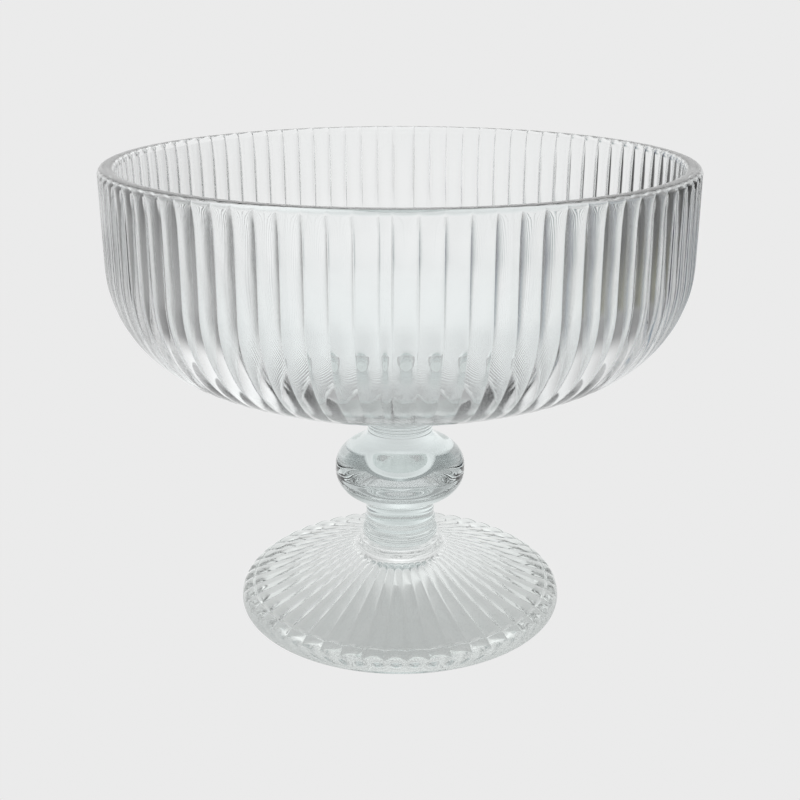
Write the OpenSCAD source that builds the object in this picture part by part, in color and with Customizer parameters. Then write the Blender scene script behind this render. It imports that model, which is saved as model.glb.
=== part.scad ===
// Footed dessert bowl of clear pressed glass, turned about the vertical axis and standing on z = 0.
// A ribbed bowl is fused through a wafer, a knop with a neck and a ringed wafer to a ribbed foot.

/* [Bowl] */
// Outer radius of the bowl at the rim and down its straight wall
bowl_r = 60; // [54:0.5:68]
// Height of the rim above the table
rim_z = 98.8; // [94:0.2:108]
// Height where the straight wall starts to curve under
corner_z = 80; // [78:0.5:86]
// Outer radius of the curve under the wall
corner_r = 24.4; // [22:0.2:26]
// Outer radius of the shallow dome under the bowl
dome_r = 114; // [108:1:130]
// Radius of the shallow dome inside the bowl
well_r = 170; // [140:1:240]
// Glass thickness at the lip
lip_t = 3.5; // [3:0.1:4.5]
// Glass thickness where the wall starts to curve under
wall_t = 3.9; // [3.2:0.1:4.8]
// Rounding of both edges of the lip
lip_round = 1.2; // [0.6:0.1:1.4]

/* [Bowl ribs] */
// Number of ribs round the bowl
bowl_ribs = 90; // [60:2:96]
// Depth of the groove between two ribs
groove_d = 0.6; // [0.3:0.05:0.8]
// Width of a groove
groove_w = 0.9; // [0.5:0.05:1]
// Plain band between the rim and the tops of the grooves
lip_band = 1.8; // [1.4:0.1:6]
// Radius where the grooves end under the bowl
groove_end_r = 32; // [26:0.5:34]

/* [Stem] */
// Radius of the wafer between the bowl and the knop
wafer_r = 7.1; // [6.4:0.1:7.8]
// Height of the wafer's flare up to the bowl
flare_h = 4.5; // [3:0.1:5]
// Radius of the flare's hollow curve
flare_r = 5.5; // [5.2:0.1:7]
// Largest radius of the small bead at the wafer's foot
wafer_bead_r = 7.4; // [7.3:0.05:8.2]
// Largest radius of the knop
knop_r = 14.3; // [12.5:0.1:16]
// Radius of the rounding all round the knop
knop_round = 7.45; // [6.8:0.05:7.8]
// Height of the middle of the knop
knop_z = 31.2; // [30.4:0.1:32]
// Flat cut off the top of the knop where the wafer is fused on
knop_flat = 0.2; // [0.15:0.05:0.4]
// Radius of the neck below the knop
neck_r = 7.6; // [7.2:0.1:8]
// Height of the bottom of the neck
neck_z = 20; // [19.4:0.1:21]

/* [Ringed wafer] */
// Largest radius of the upper bead ring
upper_ring_r = 8; // [7.8:0.05:8.4]
// Radius of the upper ring's section
upper_bead = 0.9; // [0.7:0.05:1]
// Largest radius of the lower bead ring
lower_ring_r = 8.5; // [8.3:0.05:8.8]
// Radius of the lower ring's section
lower_bead = 1.5; // [1.2:0.05:1.5]

/* [Foot] */
// Largest radius of the foot
foot_r = 36; // [33:0.5:42]
// Height of the flat where the ringed wafer is fused on
foot_top_z = 14.6; // [14.2:0.1:15]
// Radius of that flat
foot_top_r = 9; // [8.9:0.1:9.6]
// Radius where the foot's cone starts
cone_r = 10.4; // [9.8:0.1:11]
// Drop of the cone for each millimetre outwards
cone_slope = 0.325; // [0.28:0.005:0.34]
// Rounding of the shoulder at the foot's edge
shoulder_r = 3.6; // [2.6:0.1:4]
// Rounding of the edge next to the table
edge_r = 1.3; // [0.8:0.1:1.4]
// Width of the flat ring that the foot rests on
rest_w = 2.4; // [1.6:0.1:3.4]
// Height of the hollow under the foot
hollow_z = 6.4; // [4:0.1:7]
// Radius of the hollow's flat top
hollow_top_r = 7; // [4:0.5:8]

/* [Foot ribs] */
// Number of ribs round the foot
foot_ribs = 48; // [36:2:52]
// Depth of a groove at the shoulder
foot_groove_d = 0.7; // [0.4:0.05:0.9]
// Width of a groove
foot_groove_w = 0.9; // [0.5:0.05:1]
// Radius where the grooves start on the cone
foot_groove_r = 10.8; // [10.5:0.1:12]
// Depth of a groove where it starts
foot_groove_start = 0.2; // [0.1:0.05:0.3]
// Angle above level where the grooves end on the shoulder
foot_groove_end = 22; // [15:1:40]

/* [Hidden] */
$fn = 120;
// Straight steps along each curve of an outline
lip_steps = 4;
corner_steps = 7;
dome_steps = 4;
inside_steps = 12;
shoulder_steps = 5;
// How far a cutter reaches past the surface that it cuts
over = 0.4;
// Space between a bead ring and the nearest end of its wafer
bead_gap = 0.2;
clear_glass = [0.86, 0.92, 0.90, 0.45];
thick_glass = [0.76, 0.86, 0.83, 0.55];

// Centre of the corner, and the tangent domes that carry it on to the axis outside and inside
corner = [bowl_r - corner_r, corner_z];
inner_corner_r = corner_r - wall_t;
dome = [0, corner_z + sqrt(pow(dome_r - corner_r, 2) - pow(corner.x, 2))];
dome_a = atan2(dome.y - corner.y, corner.x);
well = [0, corner_z + sqrt(pow(well_r - inner_corner_r, 2) - pow(corner.x, 2))];
well_a = atan2(well.y - corner.y, corner.x);

// Flat seat under the bowl, as wide as the wafer's flare
seat_r = wafer_r + flare_r - sqrt(pow(flare_r, 2) - pow(flare_h, 2));
seat_z = dome.y - sqrt(pow(dome_r, 2) - pow(seat_r, 2));

knop_x = knop_r - knop_round;
knop_top = knop_z + knop_round - knop_flat;
wafer_bead = wafer_bead_r - wafer_r + over;

// Shoulder where the foot's cone meets its rounded edge
cone_a = atan(cone_slope);
shoulder_c = [foot_r - shoulder_r, edge_r];
shoulder = shoulder_c + shoulder_r * [sin(cone_a), cos(cone_a)];
rest_r = foot_r - edge_r - rest_w;

// Points along an arc between two angles
function arc(centre, r, from, to, steps) =
    [for (i = [0 : steps]) let (a = from + (to - from) * i / steps) centre + r * [cos(a), sin(a)]];

// Outside of the bowl from the corner's top to radius r_end, set in by inset
function bowl_outside(inset, r_end) = concat(
    arc(corner, corner_r - inset, 0, -dome_a, corner_steps),
    arc(dome, dome_r - inset, -dome_a, -acos(r_end / dome_r), dome_steps));

// Height of the foot's cone at a radius
function cone_z(r) = shoulder.y + (shoulder.x - r) * cone_slope;

// Bead ring of section radius bead that stands out to radius r
module bead_ring(r, bead, z) {
    translate([0, 0, z])
        rotate_extrude()
            translate([r - bead, 0])
                circle(bead);
}

// Upright slots of width w round the axis, with the outline of each given in its own radial plane
module slots(count, w) {
    for (i = [0 : count - 1])
        rotate(i * 360 / count)
            rotate([90, 0, 0])
                linear_extrude(w, center = true)
                    children();
}

// Half section of the bowl, from the axis up the inside, over the lip and down the outside
module bowl_section() {
    inner_lip = [bowl_r - lip_t + lip_round, rim_z - lip_round];
    outer_lip = [bowl_r - lip_round, rim_z - lip_round];
    polygon(concat(
        [[0, seat_z]],
        arc(well, well_r, -90, -well_a, inside_steps),
        arc(corner, inner_corner_r, -well_a, 0, inside_steps),
        arc(inner_lip, lip_round, 180, 90, lip_steps),
        arc(outer_lip, lip_round, 90, 0, lip_steps),
        bowl_outside(0, seat_r)));
}

// Outline of a groove between two ribs: down the wall, round the corner and out under the bowl
module bowl_groove() {
    top = rim_z - lip_band;
    bottom = seat_z - over;
    polygon(concat(
        [[bowl_r - groove_d, top]],
        bowl_outside(groove_d, groove_end_r),
        [[groove_end_r, bottom], [bowl_r + over, bottom], [bowl_r + over, top]]));
}

module bowl() {
    color(clear_glass)
        difference() {
            rotate_extrude() bowl_section();
            slots(bowl_ribs, groove_w) bowl_groove();
        }
}

module bowl_wafer() {
    flare_z = seat_z - flare_h;
    color(thick_glass) {
        translate([0, 0, knop_top]) cylinder(r = wafer_r, h = flare_z - knop_top);
        rotate_extrude()
            difference() {
                translate([0, flare_z]) square([seat_r, flare_h]);
                translate([wafer_r + flare_r, flare_z]) circle(flare_r);
            }
        bead_ring(wafer_bead_r, wafer_bead, knop_top + bead_gap + wafer_bead);
    }
}

module knop_stem() {
    color(thick_glass) {
        translate([0, 0, neck_z]) cylinder(r = neck_r, h = knop_z - neck_z);
        rotate_extrude()
            difference() {
                translate([0, knop_z]) {
                    translate([knop_x, 0]) circle(knop_round);
                    translate([0, -knop_round]) square([knop_x, 2 * knop_round]);
                }
                translate([0, knop_top]) square([knop_r, knop_round]);
                translate([-knop_round, 0]) square([knop_round, knop_top]);
            }
    }
}

module foot_wafer() {
    color(thick_glass) {
        translate([0, 0, foot_top_z]) cylinder(r = neck_r, h = neck_z - foot_top_z);
        bead_ring(upper_ring_r, upper_bead, neck_z - bead_gap - upper_bead);
        bead_ring(lower_ring_r, lower_bead, foot_top_z + bead_gap + lower_bead);
    }
}

// Half section of the foot: hollow, resting ring, rounded edge, shoulder, cone, flare and flat top
module foot_section() {
    edge_c = [foot_r - edge_r, edge_r];
    polygon(concat(
        [[0, hollow_z], [hollow_top_r, hollow_z], [rest_r, 0]],
        arc(edge_c, edge_r, -90, 0, shoulder_steps),
        arc(shoulder_c, shoulder_r, 0, 90 - cone_a, shoulder_steps),
        [[cone_r, cone_z(cone_r)], [foot_top_r, foot_top_z], [0, foot_top_z]]));
}

// Outline of a groove between two ribs of the foot: down the cone, deeper as it goes, over the shoulder
module foot_groove() {
    outer = foot_r + over;
    top = cone_z(foot_groove_r) + over;
    bottom = shoulder_c.y + (shoulder_r - foot_groove_d) * sin(foot_groove_end);
    polygon(concat(
        [[foot_groove_r, cone_z(foot_groove_r) - foot_groove_start]],
        arc(shoulder_c, shoulder_r - foot_groove_d, 90 - cone_a, foot_groove_end, shoulder_steps),
        [[outer, bottom], [outer, top], [foot_groove_r, top]]));
}

module foot() {
    color(clear_glass)
        difference() {
            rotate_extrude() foot_section();
            slots(foot_ribs, foot_groove_w) foot_groove();
        }
}

bowl();
bowl_wafer();
knop_stem();
foot_wafer();
foot();
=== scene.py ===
# Footed dessert bowl of clear pressed glass: ribbed bowl, wafer, knop, ringed wafer and ribbed foot.
import math

import bpy
import numpy as np
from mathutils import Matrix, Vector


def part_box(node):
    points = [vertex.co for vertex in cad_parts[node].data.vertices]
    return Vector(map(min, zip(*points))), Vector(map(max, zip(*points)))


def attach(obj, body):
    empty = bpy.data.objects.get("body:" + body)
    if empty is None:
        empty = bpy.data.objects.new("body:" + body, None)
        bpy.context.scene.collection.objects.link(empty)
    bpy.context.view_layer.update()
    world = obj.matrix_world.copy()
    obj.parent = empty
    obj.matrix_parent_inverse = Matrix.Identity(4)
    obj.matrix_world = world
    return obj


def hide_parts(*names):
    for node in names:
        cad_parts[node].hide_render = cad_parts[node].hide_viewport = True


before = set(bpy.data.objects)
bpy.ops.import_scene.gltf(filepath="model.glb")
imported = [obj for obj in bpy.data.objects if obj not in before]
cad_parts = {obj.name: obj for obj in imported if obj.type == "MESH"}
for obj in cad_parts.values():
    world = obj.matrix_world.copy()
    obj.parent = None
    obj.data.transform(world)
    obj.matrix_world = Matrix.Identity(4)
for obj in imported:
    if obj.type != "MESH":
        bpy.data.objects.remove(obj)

mm = 0.001
scene = bpy.context.scene
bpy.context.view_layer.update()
nodeNames = ("bowl", "bowl_wafer", "knop_stem", "foot_wafer", "foot")
boxes = {name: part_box(name) for name in nodeNames}
tops = {name: boxes[name][1].z / mm for name in nodeNames}
bottoms = {name: boxes[name][0].z / mm for name in nodeNames}
reach = {name: boxes[name][1].x / mm for name in nodeNames}
fuseGap = 0.01  # half of the hairline between two fused faces, mm
samePoint = 1e-4  # two points of an outline closer than this are one, mm
rowSpace = 0.1  # least space between two outlines that are joined, mm
print("frame read:", ", ".join(nodeNames))


def arcRows(centre, radius, start, end, steps):
    angles = np.radians(np.linspace(start, end, steps + 1))
    return [(centre[0] + radius * math.cos(a), centre[1] + radius * math.sin(a)) for a in angles]


# the same outline with no step longer than longest
def fillIn(rows, longest):
    out = [rows[0]]
    for (r0, z0), (r1, z1) in zip(rows[:-1], rows[1:]):
        length = math.hypot(r1 - r0, z1 - z0)
        if length < samePoint:
            continue
        pieces = max(1, math.ceil(length / longest))
        out += [(r0 + (r1 - r0) * i / pieces, z0 + (z1 - z0) * i / pieces) for i in range(1, pieces + 1)]
    return out


def ease(x, low, high):
    t = np.clip((x - low) / (high - low), 0, 1)
    return t * t * (3 - 2 * t)


def evenColumns(count):
    return np.arange(count) * 2 * math.pi / count


# one rib runs from groove to groove, with more columns near the grooves
def ribColumns(grooves, perRib, crowd):
    s = np.arange(perRib) / perRib
    across = s - crowd * np.sin(2 * math.pi * s) / (2 * math.pi)
    starts = np.radians(grooves)
    widths = np.diff(np.append(starts, starts[0] + 2 * math.pi))
    angles = (starts[:, None] + widths[:, None] * across).ravel()
    return angles, np.tile(across - 0.5, len(starts)), np.repeat(widths, perRib)


crownPower, cuspPower = 2, 8  # a round crown, and a steep drop into the groove


# depth below the crest as a share of the rib's width
def ribSink(place, crown, cusp, soft):
    out = 1 + 2 * soft - 2 * np.hypot(0.5 - np.abs(place), soft)
    return np.outer(crown, out ** crownPower) + np.outer(cusp, out ** cuspPower)


def sharpRims(mesh, firsts, columns):
    ends = np.empty(len(mesh.edges) * 2, np.int32)
    mesh.edges.foreach_get("vertices", ends)
    ends = ends.reshape(-1, 2)
    sharp = np.zeros(len(ends), bool)
    for first in firsts:
        sharp |= ((ends >= first) & (ends < first + columns)).all(1)
    mesh.edges.foreach_set("use_edge_sharp", sharp)


# rows run from the top middle, over the outside, to the bottom middle; fused ends take the second material
def turnPiece(name, rows, angles, sink=None, fused=()):
    profile = np.array(rows)
    count, columns = len(profile), len(angles)
    r, z = profile[:, :1].repeat(columns, 1), profile[:, 1:].repeat(columns, 1)
    if sink is not None:
        along = np.gradient(profile, axis=0)
        along /= np.hypot(along[:, 0], along[:, 1])[:, None]
        r, z = r + along[:, 1:] * sink, z - along[:, :1] * sink
    points = np.stack([r * np.sin(angles), -r * np.cos(angles), z], -1).reshape(-1, 3)
    points = np.vstack([points, [[0, 0, profile[0, 1]], [0, 0, profile[-1, 1]]]]) * mm
    here = np.arange(columns)
    after = np.roll(here, -1)
    faces = []
    for i in range(count - 1):
        a, b = i * columns, (i + 1) * columns
        faces += np.stack([a + here, b + here, b + after, a + after], 1).tolist()
    last = (count - 1) * columns
    top = np.stack([np.full(columns, count * columns), here, after], 1).tolist()
    bottom = np.stack([np.full(columns, count * columns + 1), last + after, last + here], 1).tolist()
    mesh = bpy.data.meshes.new(name)
    mesh.from_pydata(points.tolist(), [], faces + top + bottom)
    mesh.update()
    mesh.polygons.foreach_set("use_smooth", np.ones(len(mesh.polygons), bool))
    slots = np.zeros(len(mesh.polygons), np.int32)
    slots[len(faces):len(faces) + columns] = "top" in fused
    slots[len(faces) + columns:] = "bottom" in fused
    mesh.polygons.foreach_set("material_index", slots)
    sharpRims(mesh, [first for first, side in ((0, "top"), (last, "bottom")) if side in fused], columns)
    piece = bpy.data.objects.new(name, mesh)
    scene.collection.objects.link(piece)
    return piece


pressing = {
    "waveScale": 55, "waveDetail": 1, "skinScale": 420, "skinDetail": 2,
    "tintDrift": 0.25,  # how far the waves shift the tint
    "polish": 0.004, "skinHeight": 0.06,  # roughness of the skin, and its height beside the waves
}


def noiseNode(nodes, links, place, scale, detail):
    noise = nodes.new("ShaderNodeTexNoise")
    noise.inputs["Scale"].default_value = scale
    noise.inputs["Detail"].default_value = detail
    links.new(place, noise.inputs["Vector"])
    return noise.outputs["Fac"]


# number or socket into each input of a Math node
def mathNode(nodes, links, kind, *values):
    node = nodes.new("ShaderNodeMath")
    node.operation = kind
    for i, value in enumerate(values):
        if isinstance(value, (int, float)):
            node.inputs[i].default_value = value
        else:
            links.new(value, node.inputs[i])
    return node


def placeAxes(nodes, links, place):
    axes = nodes.new("ShaderNodeSeparateXYZ")
    links.new(place, axes.inputs[0])
    return axes


# second is a socket or a fixed colour
def mixColours(nodes, links, factor, first, second):
    mix = nodes.new("ShaderNodeMix")
    mix.data_type = "RGBA"
    links.new(factor, mix.inputs["Factor"])
    links.new(first, mix.inputs["A"])
    if isinstance(second, tuple):
        mix.inputs["B"].default_value = second
    else:
        links.new(second, mix.inputs["B"])
    return mix.outputs["Result"]


# surface of pressed glass: slow waves, a fine skin, and a tint and softness that grow with the thickness
def pressedGroup(look):
    group = bpy.data.node_groups.new("pressedSurface", "ShaderNodeTree")
    colour, number = "NodeSocketColor", "NodeSocketFloat"
    given = (("Thin", colour), ("Thick", colour), ("Low", number), ("High", number), ("Soften", number))
    for label, kind in given:
        group.interface.new_socket(label, in_out="INPUT", socket_type=kind)
    for label, kind in (("Colour", colour), ("Roughness", number), ("Height", number)):
        group.interface.new_socket(label, in_out="OUTPUT", socket_type=kind)
    nodes, links = group.nodes, group.links
    source, result = nodes.new("NodeGroupInput"), nodes.new("NodeGroupOutput")
    place = nodes.new("ShaderNodeTexCoord").outputs["Object"]
    axes = placeAxes(nodes, links, place)
    waves = noiseNode(nodes, links, place, look["waveScale"], look["waveDetail"])
    skin = noiseNode(nodes, links, place, look["skinScale"], look["skinDetail"])
    depth = nodes.new("ShaderNodeMapRange")  # 1 at Low, 0 at High
    depth.interpolation_type = "SMOOTHSTEP"
    links.new(axes.outputs["Z"], depth.inputs["Value"])
    links.new(source.outputs["Low"], depth.inputs["From Min"])
    links.new(source.outputs["High"], depth.inputs["From Max"])
    depth.inputs["To Min"].default_value = 1
    depth.inputs["To Max"].default_value = 0
    drift = mathNode(nodes, links, "MULTIPLY_ADD", waves, look["tintDrift"], depth.outputs["Result"])
    drift.use_clamp = True
    tint = mixColours(nodes, links, drift.outputs[0], source.outputs["Thin"], source.outputs["Thick"])
    links.new(tint, result.inputs["Colour"])
    polish = nodes.new("ShaderNodeMapRange")
    polish.inputs["To Max"].default_value = look["polish"]
    links.new(skin, polish.inputs["Value"])
    rough = mathNode(nodes, links, "MULTIPLY_ADD", depth.outputs["Result"], source.outputs["Soften"],
                     polish.outputs["Result"])
    links.new(rough.outputs[0], result.inputs["Roughness"])
    height = mathNode(nodes, links, "MULTIPLY_ADD", skin, look["skinHeight"], waves)
    links.new(height.outputs[0], result.inputs["Height"])
    return group


pressed = pressedGroup(pressing)
glassIor = 1.51
waveHeight = 0.5  # mm


# thin and thick are tints; the tint goes from thick to thin between the heights low and high, mm
def glassMaterial(name, look):
    material = bpy.data.materials.new(name)
    material.use_nodes = True
    nodes, links = material.node_tree.nodes, material.node_tree.links
    glass = nodes["Principled BSDF"]
    glass.inputs["Transmission Weight"].default_value = 1
    glass.inputs["IOR"].default_value = glassIor
    surface = nodes.new("ShaderNodeGroup")
    surface.node_tree = pressed
    surface.inputs["Thin"].default_value = look["thin"]
    surface.inputs["Thick"].default_value = look["thick"]
    surface.inputs["Low"].default_value = look["low"] * mm
    surface.inputs["High"].default_value = look["high"] * mm
    surface.inputs["Soften"].default_value = look["soften"]
    bump = nodes.new("ShaderNodeBump")
    bump.inputs["Strength"].default_value = look["bump"]
    bump.inputs["Distance"].default_value = waveHeight * mm
    links.new(surface.outputs["Colour"], glass.inputs["Base Color"])
    links.new(surface.outputs["Roughness"], glass.inputs["Roughness"])
    links.new(surface.outputs["Height"], bump.inputs["Height"])
    links.new(bump.outputs["Normal"], glass.inputs["Normal"])
    return material


# clear face where two pieces are fused, so that no joint shows inside the glass
def fusedMaterial():
    material = bpy.data.materials.new("fusedFace")
    material.use_nodes = True
    clear = material.node_tree.nodes["Principled BSDF"]
    clear.inputs["Alpha"].default_value = 0
    clear.inputs["Transmission Weight"].default_value = 1
    return material


ribbedGlass = glassMaterial("ribbedGlass", {
    "thin": (0.985, 0.99, 0.99, 1), "thick": (0.895, 0.94, 0.94, 1), "low": 46, "high": 71,
    "soften": 0.2, "bump": 0.03})
footGlass = glassMaterial("footGlass", {
    "thin": (0.95, 0.97, 0.965, 1), "thick": (0.9, 0.94, 0.925, 1), "low": 2, "high": 14,
    "soften": 0.0, "bump": 0.08})
stemGlass = glassMaterial("stemGlass", {
    "thin": (0.83, 0.885, 0.885, 1), "thick": (0.8, 0.87, 0.865, 1), "low": 20, "high": 40,
    "soften": 0.0, "bump": 0.03})
fusedFace = fusedMaterial()
print("glass ready")


def settle(piece, node, material):
    piece.data.materials.append(material)
    piece.data.materials.append(fusedFace)
    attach(piece, "root")
    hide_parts(node)


# sizes in mm; rib depths are shares of a rib's width
bowl = {
    "cornerZ": 80.0, "cornerR": 24.4, "domeR": 114.0, "wellR": 170.0,
    "lip": 3.5, "wall": 3.9, "lipIn": 1.2, "lipOut": 1.2,
    "bandRow": 2.2, "ribRow": 8.0,  # extra rows this far below the rim
    "wellStart": -89.9, "wellSteps": 16, "insideSteps": 20, "lipInSteps": 8, "lipOutSteps": 12,
    "cornerSteps": 34, "domeSteps": 34, "longestIn": 6, "longestOut": 4,
    # number of a groove and its degrees from the front: in front, at the right, on both sides of the seam
    # behind, and the last one before the front again
    "ribs": 90, "seams": ((0, -1.19), (22, 86.59), (44, 176.6), (45, 181.7), (89, 356.87)),
    "perRib": 22, "crowd": 0.7, "crown": 0.105, "cusp": 0.05, "soft": 0.012,
    "crownTop": (0.1, 4.0), "cuspTop": (0.15, 1.7),  # depths below the rim where crowns and grooves come in
    "cuspEnd": (-30.0, -12.0),  # heights from the rim where the sharp grooves fade in
    "underFade": (12.0, 30.0), "cornerFade": (42.0, 58.0),  # radii over which the ribs grow under the bowl
    "underShare": 0.22,  # share of the ribs that is left between those two
}


def bowlRows(shape, radius, rim, seatR, seatZ):
    corner = (radius - shape["cornerR"], shape["cornerZ"])
    innerR = shape["cornerR"] - shape["wall"]
    domeZ = corner[1] + math.sqrt((shape["domeR"] - shape["cornerR"]) ** 2 - corner[0] ** 2)
    domeA = math.degrees(math.atan2(domeZ - corner[1], corner[0]))
    wellZ = corner[1] + math.sqrt((shape["wellR"] - innerR) ** 2 - corner[0] ** 2)
    wellA = math.degrees(math.atan2(wellZ - corner[1], corner[0]))
    inside = arcRows((0, wellZ), shape["wellR"], shape["wellStart"], -wellA, shape["wellSteps"])
    inside += arcRows(corner, innerR, -wellA, 0, shape["insideSteps"])
    lipIn, lipOut = shape["lipIn"], shape["lipOut"]
    inside += arcRows((radius - shape["lip"] + lipIn, rim - lipIn), lipIn, 180, 90, shape["lipInSteps"])
    outside = arcRows((radius - lipOut, rim - lipOut), lipOut, 90, 0, shape["lipOutSteps"])
    outside += [(radius, rim - shape["bandRow"]), (radius, rim - shape["ribRow"]), (radius, corner[1])]
    outside += arcRows(corner, shape["cornerR"], 0, -domeA, shape["cornerSteps"])
    seatA = math.degrees(math.acos(seatR / shape["domeR"]))
    outside += arcRows((0, domeZ), shape["domeR"], -domeA, -seatA, shape["domeSteps"])
    outside[-1] = (seatR, seatZ + fuseGap)
    return fillIn(inside, shape["longestIn"]), fillIn(outside, shape["longestOut"])


def buildBowl(shape):
    radius, rim = reach["bowl"], tops["bowl"]
    inside, outside = bowlRows(shape, radius, rim, reach["bowl_wafer"], bottoms["bowl"])
    marks, degrees = zip(*shape["seams"])
    grooves = np.interp(np.arange(shape["ribs"]), marks, degrees)
    angles, place, widths = ribColumns(grooves, shape["perRib"], shape["crowd"])
    rows = np.array(inside + outside[1:])
    down, out = rim - rows[:, 1], rows[:, 0]
    share = shape["underShare"]
    under = ease(out, *shape["underFade"]) * (share + (1 - share) * ease(out, *shape["cornerFade"]))
    crown = shape["crown"] * ease(down, *shape["crownTop"]) * under
    cusp = shape["cusp"] * ease(down, *shape["cuspTop"]) * ease(-down, *shape["cuspEnd"]) * under
    crown[:len(inside)] = cusp[:len(inside)] = 0  # the inside is smooth
    sink = rows[:, :1] * widths * ribSink(place, crown, cusp, shape["soft"])
    piece = turnPiece("bowlPiece", rows, angles, sink, fused=("bottom",))
    settle(piece, "bowl", ribbedGlass)


buildBowl(bowl)
print("bowl turned")

wafer = {
    "bodyR": 7.1, "bodyDrop": 0.4, "flareH": 4.5, "flareR": 5.5,
    "flareSteps": 16, "columns": 160, "longest": 0.6,
    "rings": ((42.6, 0.33, 7.25), (41.95, 0.33, 7.25), (41.3, 0.33, 7.25)),  # height, section, reach
    "groove": ((7.1, 40.95), (6.55, 40.6), (7.12, 40.35)),  # radius, height
}
knop = {
    "middle": 31.2, "half": 7.45, "power": 2.5, "roundSteps": 120, "columns": 160, "longest": 0.5,
    "hollow": (7.3, 38.3), "hollowEnd": 9.8, "hollowSteps": 32,  # pull of the hollow curve, radius at its end
    "neckR": 7.6, "neckStart": 0.4, "neckBlend": ((0.12, 0.25), (0.0, 0.7)),  # out from the neck, drop
}
ringSteps = 10


# height of the knop's rounded side at a radius
def knopHeight(shape, r):
    power = shape["power"]
    return shape["middle"] + shape["half"] * (1 - (r / reach["knop_stem"]) ** power) ** (1 / power)


# hollow curve from the wafer's groove out to the knop's shoulder
def hollowRows(shape, start):
    end = (shape["hollowEnd"], knopHeight(shape, shape["hollowEnd"]))
    t = np.linspace(0, 1, shape["hollowSteps"] + 1)[:, None]
    start, pull, end = np.array(start), np.array(shape["hollow"]), np.array(end)
    return (1 - t) ** 2 * start + 2 * t * (1 - t) * pull + t ** 2 * end


# radius of the hollow curve at a height
def hollowRadius(hollow, z):
    return np.interp(-z, -hollow[:, 1], hollow[:, 0])


def ringedSide(bodyR, top, bottom, rings):
    rows = [(bodyR, top)]
    for z, section, outer in rings:
        bow = math.degrees(math.acos((bodyR - outer + section) / section))
        rows += arcRows((outer - section, z), section, bow, -bow, ringSteps)
    return rows + [(bodyR, bottom)]


def buildWafer(shape):
    top, bottom = tops["bowl_wafer"], bottoms["bowl_wafer"]
    flareZ = top - shape["flareH"]
    end = math.degrees(math.asin(shape["flareH"] / shape["flareR"]))
    flareC = (shape["bodyR"] + shape["flareR"], flareZ)
    rows = arcRows(flareC, shape["flareR"], 180 - end, 180, shape["flareSteps"])
    rows[0] = (reach["bowl_wafer"], top - fuseGap)
    bodyEnd = shape["groove"][0][1] + rowSpace
    rows += ringedSide(shape["bodyR"], flareZ - shape["bodyDrop"], bodyEnd, shape["rings"])
    hollow = hollowRows(knop, shape["groove"][-1])
    rows += list(shape["groove"]) + [tuple(p) for p in hollow[1:] if p[1] > bottom + rowSpace]
    rows += [(hollowRadius(hollow, bottom), bottom + fuseGap)]
    columns = evenColumns(shape["columns"])
    piece = turnPiece("bowlWafer", fillIn(rows, shape["longest"]), columns, fused=("top", "bottom"))
    settle(piece, "bowl_wafer", stemGlass)


buildWafer(wafer)


# outline of the knop from top to bottom, a circle squared a little by its power
def knopRound(shape, radius):
    rows = []
    for turn in np.radians(np.linspace(90, -90, shape["roundSteps"] + 1)):
        c, s = abs(math.cos(turn)), math.sin(turn)
        rise = math.copysign(abs(s) ** (2 / shape["power"]), s)
        rows.append((radius * c ** (2 / shape["power"]), shape["middle"] + shape["half"] * rise))
    return rows


def buildKnop(shape):
    top, bottom, radius = tops["knop_stem"], bottoms["knop_stem"], reach["knop_stem"]
    middle, neckR = shape["middle"], shape["neckR"]
    side = knopRound(shape, radius)
    hollow = hollowRows(shape, wafer["groove"][-1])
    rows = [(hollowRadius(hollow, top), top - fuseGap)]
    rows += [tuple(p) for p in hollow if p[1] < top - rowSpace]
    rows += [p for p in side if p[0] > shape["hollowEnd"] + rowSpace and p[1] > middle]
    rows += [p for p in side if p[0] > neckR + shape["neckStart"] and p[1] <= middle]
    low = rows[-1][1]
    rows += [(neckR + out, low - drop) for out, drop in shape["neckBlend"]] + [(neckR, bottom + fuseGap)]
    columns = evenColumns(shape["columns"])
    piece = turnPiece("knopStem", fillIn(rows, shape["longest"]), columns, fused=("top", "bottom"))
    settle(piece, "knop_stem", stemGlass)


buildKnop(knop)

footWafer = {
    "bodyR": 7.6, "columns": 160, "longest": 0.4,
    "rings": ((18.9, 0.9, 8.0), (16.3, 1.5, 8.5)),  # height, section, reach
}


def buildFootWafer(shape):
    top, bottom = tops["foot_wafer"], bottoms["foot_wafer"]
    rows = ringedSide(shape["bodyR"], top - fuseGap, bottom + fuseGap, shape["rings"])
    columns = evenColumns(shape["columns"])
    piece = turnPiece("footWafer", fillIn(rows, shape["longest"]), columns, fused=("top", "bottom"))
    settle(piece, "foot_wafer", stemGlass)


buildFootWafer(footWafer)
print("stem turned")

# sizes in mm; slope and rib depths are shares
foot = {
    "topR": 9.0, "topEdge": 0.05, "flareOut": 0.5, "flareUp": 0.9, "coneR": 10.4, "slope": 0.325,
    "shoulderR": 3.6, "edgeR": 1.3, "restW": 2.4, "hollowZ": 6.4, "hollowR": 7.0, "hollowEnd": 0.2,
    "shoulderSteps": 18, "edgeSteps": 8, "longestTop": 0.7, "longestUnder": 1.5,
    "ribs": 48, "turn": 2.25, "perRib": 20, "crowd": 0.5, "crown": 0.07, "cusp": 0.03, "soft": 0.02,
    "ribTop": (9.8, 12.0), "ribEnd": (2.6, 4.0),  # radii where the ribs start, heights where they end
}


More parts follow.
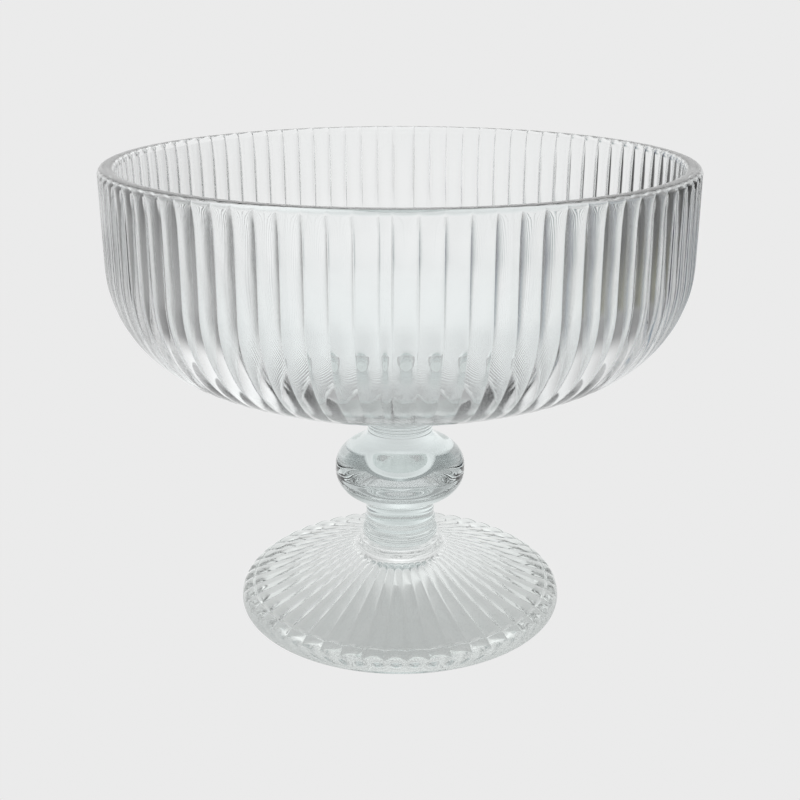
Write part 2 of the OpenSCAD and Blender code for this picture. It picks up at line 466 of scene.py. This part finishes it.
def footRows(shape, radius, top):
    lean = math.atan(shape["slope"])
    shoulderR, edgeR = shape["shoulderR"], shape["edgeR"]
    shoulder = (radius - shoulderR, edgeR)
    meet = (shoulder[0] + shoulderR * math.sin(lean), shoulder[1] + shoulderR * math.cos(lean))
    coneTop = (shape["coneR"], meet[1] + (meet[0] - shape["coneR"]) * shape["slope"])
    above = [(footWafer["bodyR"], top - fuseGap), (shape["topR"], top - shape["topEdge"])]
    above += [(shape["topR"] + shape["flareOut"], coneTop[1] + shape["flareUp"]), coneTop, meet]
    above = fillIn(above, shape["longestTop"])
    above += arcRows(shoulder, shoulderR, 90 - math.degrees(lean), 0, shape["shoulderSteps"])
    below = arcRows((radius - edgeR, edgeR), edgeR, 0, -90, shape["edgeSteps"])
    below += [(radius - edgeR - shape["restW"], 0)]
    below += [(shape["hollowR"], shape["hollowZ"]), (shape["hollowEnd"], shape["hollowZ"])]
    return above, fillIn(below, shape["longestUnder"])


def buildFoot(shape):
    above, below = footRows(shape, reach["foot"], tops["foot"])
    rows = np.array(above + below[1:])
    grooves = shape["turn"] + np.arange(shape["ribs"]) * 360 / shape["ribs"]
    angles, place, widths = ribColumns(grooves, shape["perRib"], shape["crowd"])
    weight = ease(rows[:, 0], *shape["ribTop"]) * ease(rows[:, 1], *shape["ribEnd"])
    weight[len(above):] = 0  # the edge and the underside are smooth
    depth = ribSink(place, shape["crown"] * weight, shape["cusp"] * weight, shape["soft"])
    piece = turnPiece("footPiece", rows, angles, rows[:, :1] * widths * depth, fused=("top",))
    settle(piece, "foot", footGlass)


buildFoot(foot)
print("foot turned")

stage = {
    "pale": 0.83, "brightest": 1.25, "floorSize": 6.0, "floorDrop": 0.0002,  # the last two in metres
    # light levels by direction from the bowl, in degrees from straight behind it, right positive; a ring
    # starts between its two ends, in metres out on the floor or as height in the sky
    "floorRings": (
        # the first two rings paint the bowl's shadow on the floor under and round the foot, darkest in front
        ((0, 0), ((-180, 0.5), (-45, 0.7), (0, 0.7), (40, 0.9), (90, 0.6), (180, 0.5))),
        ((0.03, 0.042), ((-180, 0.4), (-140, 0.45), (-70, 1.05), (-35, 1.05), (0, 0.75), (35, 0.9), (70, 0.9),
                         (130, 0.45), (180, 0.4))),
        ((0.1, 0.15), ((-180, 0.55), (-130, 0.7), (-68, 0.15), (-50, 0.3), (-36, 0.7), (-24, 0.9), (26, 0.9),
                       (36, 0.5), (45, (0.2, 0.25, 0.3)), (62, 0.05), (90, 0.3), (130, 0.35), (180, 0.55))),
        ((0.22, 0.29), ((-180, 1.15), (-125, 0.95), (-104, 0.7), (-92, 0.35), (-64, 0.1), (-57, 0),
                        (-44, 0.05), (-36, 0.6), (-30, 0.9), (20, 0.85), (30, (0.35, 0.4, 0.4)),
                        (38, (0.05, 0.05, 0.1)), (54, 0), (80, 0.1), (92, (0.3, 0.3, 0.25)),
                        (104, (0.6, 0.6, 0.55)), (150, 1.1), (180, 1.15))),
        ((0.45, 0.55), ((-180, 0.9), (-90, 0.7), (-40, 0.7), (-8, 0.85), (30, 0.85), (33, 0.2), (35, 0),
                        (62, 0), (80, 0.5), (100, 0.9), (180, 0.9))),
    ),
    "skyRings": (
        ((0, 0), ((-180, 0.7), (-105, 0.55), (-40, 0.6), (-18, 0.85), (18, 0.8), (40, 0.45), (100, 0.7),
                  (180, 0.7))),
        ((0.17, 0.25), ((-180, 0.45), (-105, 0.5), (-42, 0.6), (-16, 0.85), (0, 1.1), (16, 0.8), (42, 0.5),
                        (100, 0.7), (180, 0.45))),
        ((0.58, 0.7), ((-180, 0.8), (-90, 0.25), (-55, 0.4), (0, 0.75), (55, 0.45), (90, 0.3), (180, 0.8))),
    ),
}


def softStep(nodes, links, value, low, high):
    step = nodes.new("ShaderNodeMapRange")
    step.interpolation_type = "SMOOTHSTEP"
    links.new(value, step.inputs["Value"])
    step.inputs["From Min"].default_value = low
    step.inputs["From Max"].default_value = high
    return step.outputs["Result"]


# degrees round from straight behind the bowl, as 0 to 1 for a ramp
def turnAround(nodes, links, axes):
    turn = mathNode(nodes, links, "ARCTAN2", axes.outputs["X"], axes.outputs["Y"])
    return mathNode(nodes, links, "MULTIPLY_ADD", turn.outputs[0], 0.5 / math.pi, 0.5).outputs[0]


def levelRing(nodes, links, turn, stops, brightest):
    ring = nodes.new("ShaderNodeValToRGB")
    ring.color_ramp.interpolation = "EASE"
    marks = ring.color_ramp.elements
    for i, (degrees, level) in enumerate(stops):
        mark = marks[i] if i < 2 else marks.new(1)  # a new ramp has two marks
        mark.position = (degrees + 180) / 360
        shades = level if isinstance(level, tuple) else (level,) * 3
        mark.color = [shade / brightest for shade in shades] + [1]
    links.new(turn, ring.inputs["Fac"])
    return ring.outputs["Color"]


# rings of light levels one after another, each easing into the next; the camera itself sees an even pale tone
def studioLight(nodes, links, axes, value, rings, look):
    turn = turnAround(nodes, links, axes)
    level = levelRing(nodes, links, turn, rings[0][1], look["brightest"])
    for ends, stops in rings[1:]:
        ring = levelRing(nodes, links, turn, stops, look["brightest"])
        level = mixColours(nodes, links, softStep(nodes, links, value, *ends), level, ring)
    gain = nodes.new("ShaderNodeVectorMath")
    gain.operation = "SCALE"
    links.new(level, gain.inputs[0])
    gain.inputs["Scale"].default_value = look["brightest"]
    path = nodes.new("ShaderNodeLightPath")
    pale = (look["pale"],) * 3 + (1,)
    return mixColours(nodes, links, path.outputs["Is Camera Ray"], gain.outputs[0], pale)


# the floor glows: the camera sees an even pale tone, the glass sees the light levels, with the bowl's painted
# shadow under its foot
def floorMaterial(look):
    material = bpy.data.materials.new("floorGlowWithPaintedShadow")
    material.use_nodes = True
    nodes, links = material.node_tree.nodes, material.node_tree.links
    nodes.clear()
    output, glow = nodes.new("ShaderNodeOutputMaterial"), nodes.new("ShaderNodeEmission")
    place = nodes.new("ShaderNodeTexCoord").outputs["Object"]
    far = nodes.new("ShaderNodeVectorMath")
    far.operation = "LENGTH"
    links.new(place, far.inputs[0])
    axes = placeAxes(nodes, links, place)
    light = studioLight(nodes, links, axes, far.outputs["Value"], look["floorRings"], look)
    links.new(light, glow.inputs["Color"])
    links.new(glow.outputs[0], output.inputs["Surface"])
    return material


def buildFloor(look):
    half, z = look["floorSize"] / 2, -look["floorDrop"]
    corners = [(-half, -half, z), (half, -half, z), (half, half, z), (-half, half, z)]
    mesh = bpy.data.meshes.new("floor")
    mesh.from_pydata(corners, [], [(0, 1, 2, 3)])
    mesh.materials.append(floorMaterial(look))
    floor = bpy.data.objects.new("floor", mesh)
    scene.collection.objects.link(floor)


def lightSky(look):
    world = bpy.data.worlds.new("studio")
    scene.world = world
    world.use_nodes = True
    nodes, links = world.node_tree.nodes, world.node_tree.links
    axes = placeAxes(nodes, links, nodes.new("ShaderNodeTexCoord").outputs["Generated"])
    light = studioLight(nodes, links, axes, axes.outputs["Z"], look["skyRings"], look)
    links.new(light, nodes["Background"].inputs["Color"])


buildFloor(stage)
lightSky(stage)

shot = {"place": (0, -0.24, 0.1309), "dip": 0.3377, "lens": 52.5, "sensor": 36}  # metres, radians, mm
bounces = {"max_bounces": 40, "transmission_bounces": 40, "glossy_bounces": 12, "transparent_max_bounces": 48}


def setCamera(view):
    lens = bpy.data.cameras.new("camera")
    lens.lens = view["lens"]
    lens.sensor_width = view["sensor"]
    camera = bpy.data.objects.new("camera", lens)
    camera.location = view["place"]
    camera.rotation_euler = (math.pi / 2 - view["dip"], 0, 0)
    scene.collection.objects.link(camera)
    scene.camera = camera


setCamera(shot)
scene.view_settings.view_transform = "Standard"
for setting, count in bounces.items():
    setattr(scene.cycles, setting, count)
print("stage and camera set")
